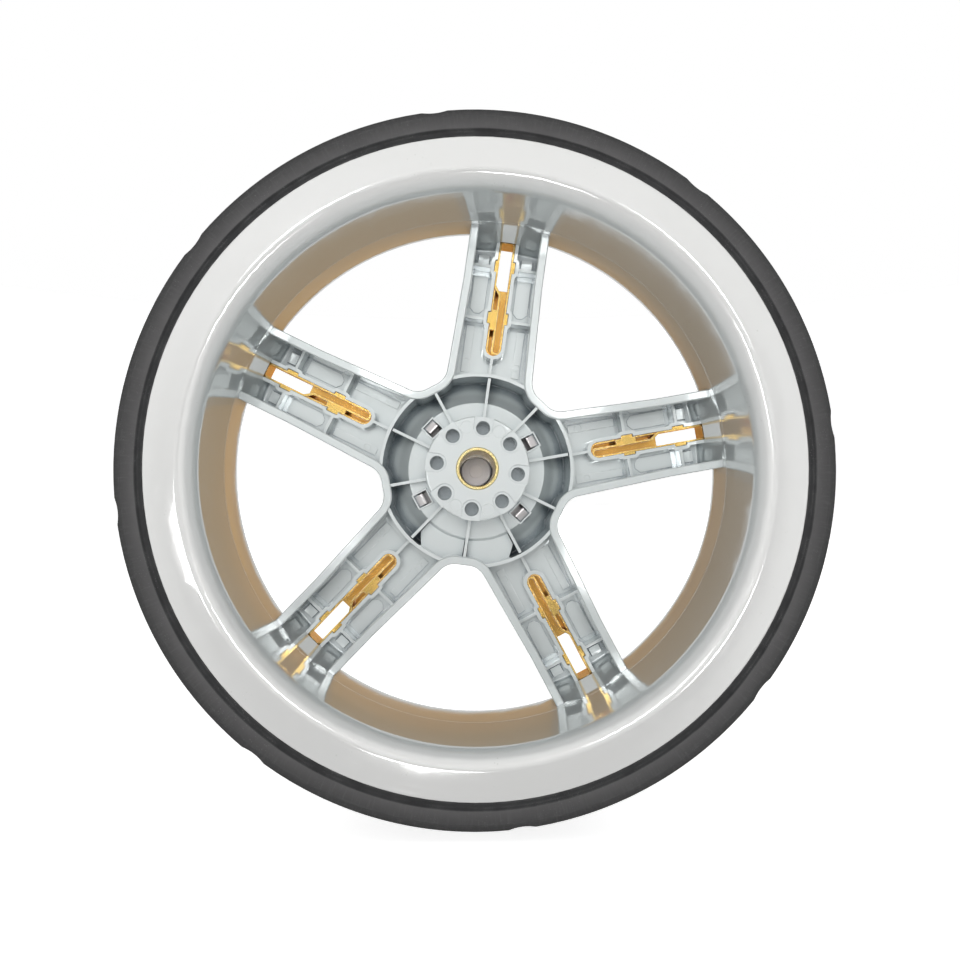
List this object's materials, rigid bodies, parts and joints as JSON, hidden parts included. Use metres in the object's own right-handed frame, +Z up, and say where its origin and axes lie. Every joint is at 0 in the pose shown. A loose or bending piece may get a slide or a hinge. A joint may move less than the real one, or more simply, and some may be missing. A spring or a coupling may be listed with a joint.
{
  "type": "cart wheel",
  "caption": "Spoked plastic road wheel with foam-filled tyre, plated spoke trims, brass axle bush and push-button quick-release hub.",
  "frame": {"origin": "on the axle line, midway between the two lips of the rim", "axes": "+Y along the axle from the back (cart side) to the front (show side); +Z up, +X to the right seen from the back"},
  "size_m": [0.292, 0.072, 0.292],
  "materials": {
    "moulding": "glossy moulded",
    "tyre": "matt rubber",
    "foam": "closed-cell foam",
    "brass": "machined",
    "plated_trim": "gold-coloured plating on plastic",
    "cap": "glossy moulded",
    "button": "satin moulded",
    "housing": "satin moulded",
    "plate_steel": "zinc plated",
    "spring_steel": "drawn wire",
    "screw_steel": "zinc plated"
  },
  "bodies": {
    "wheel": {"wheel_moulding": "moulding", "tyre_casing": "tyre", "tyre_core": "foam", "axle_bush": "brass", "spoke_trim_1": "plated_trim", "spoke_trim_2": "plated_trim", "spoke_trim_3": "plated_trim", "spoke_trim_4": "plated_trim", "spoke_trim_5": "plated_trim", "hub_cap": "cap", "latch_housing": "housing", "latch_screws": "screw_steel", "button_spring": "spring_steel", "lock_spring": "spring_steel"},
    "button": {"release_button": "button"},
    "plate": {"lock_plate": "plate_steel"}
  },
  "joints": [
    {"name": "button_press", "type": "slide", "parent": "wheel", "child": "button", "axis": [0, -1, 0], "range_m": [0, 0.0025], "stiffness_N_per_m": 900, "springref_m": -0.003, "deforming": ["button_spring"]},
    {"name": "plate_slide", "type": "slide", "parent": "wheel", "child": "plate", "axis": [0, 0, 1], "range_m": [0, 0.0015], "stiffness_N_per_m": 500, "springref_m": -0.002, "deforming": ["lock_spring"]}
  ],
  "couplings": [
    {"joint": "plate_slide", "follows": "button_press", "ratio": 0.6}
  ]
}
